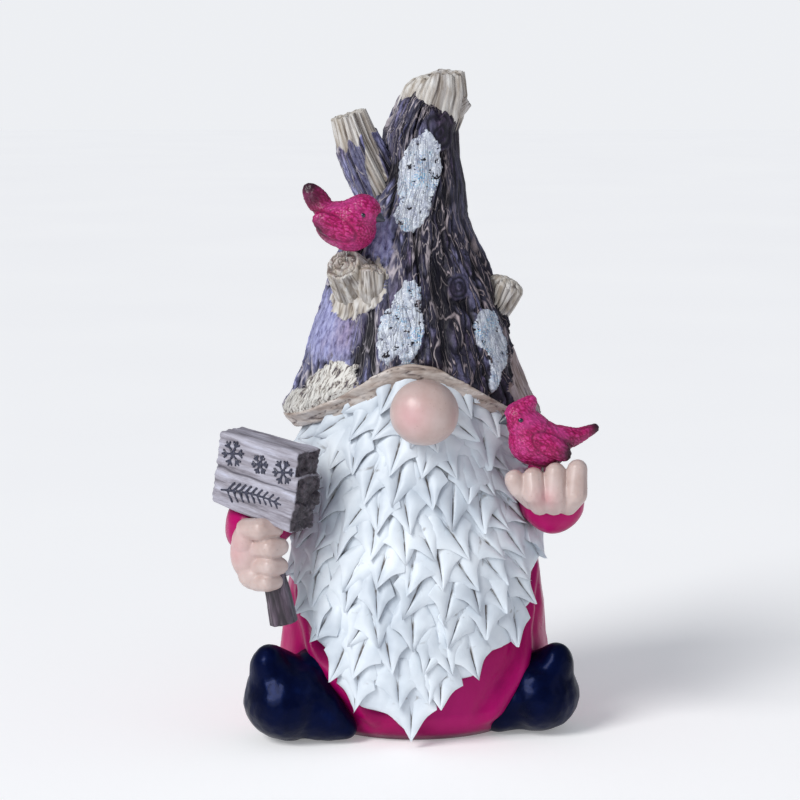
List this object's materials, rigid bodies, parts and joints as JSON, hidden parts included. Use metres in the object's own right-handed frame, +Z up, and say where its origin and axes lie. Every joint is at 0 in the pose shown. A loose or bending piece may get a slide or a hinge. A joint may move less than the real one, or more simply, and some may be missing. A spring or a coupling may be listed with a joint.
{
  "type": "garden gnome",
  "caption": "Seated resin garden gnome with a tree-trunk hat, a beard of leaves, a blank plank sign and small red birds, standing flat on its base.",
  "frame": {"origin": "middle of the base plate's underside, on the ground", "axes": "+Z up; the gnome faces -Y, with its sign hand towards -X and its bird hand towards +X"},
  "size_m": [0.142, 0.1074, 0.2455],
  "materials": {
    "coat": "crimson paint under a gloss varnish",
    "bark": "dark violet-grey paint with pale dry-brushed ridges",
    "wood": "pale cut-wood paint with a brown wash in the grain",
    "leaf": "off-white paint with a grey-brown wash",
    "skin": "flesh paint with a pink blush under a satin varnish",
    "boot": "navy-black paint under a gloss varnish",
    "bird": "crimson paint with engraved feathers under a gloss varnish",
    "sign": "weathered grey plank paint",
    "post": "dark brown bark paint",
    "resin": "bare cast resin",
    "rubber": "moulded",
    "steel": "drawn wire"
  },
  "bodies": {
    "root": {"coat_body": "coat", "base_plate": "resin", "filler_plug": "rubber", "beard": "leaf", "nose": "skin", "brim_lip": "wood", "hat_trunk": "bark", "bare_crown": "wood", "left_branch": "bark", "perch_stub": "wood", "right_stub": "wood", "sign_sleeve": "coat", "sign_hand": "skin", "sign_post": "post", "sign_board": "sign", "bird_sleeve": "coat", "bird_hand": "skin", "left_boot": "boot", "right_boot": "boot", "perch_bird": "bird", "perch_bird_pin": "steel", "crested_bird": "bird", "crested_bird_pin": "steel"}
  },
  "joints": []
}
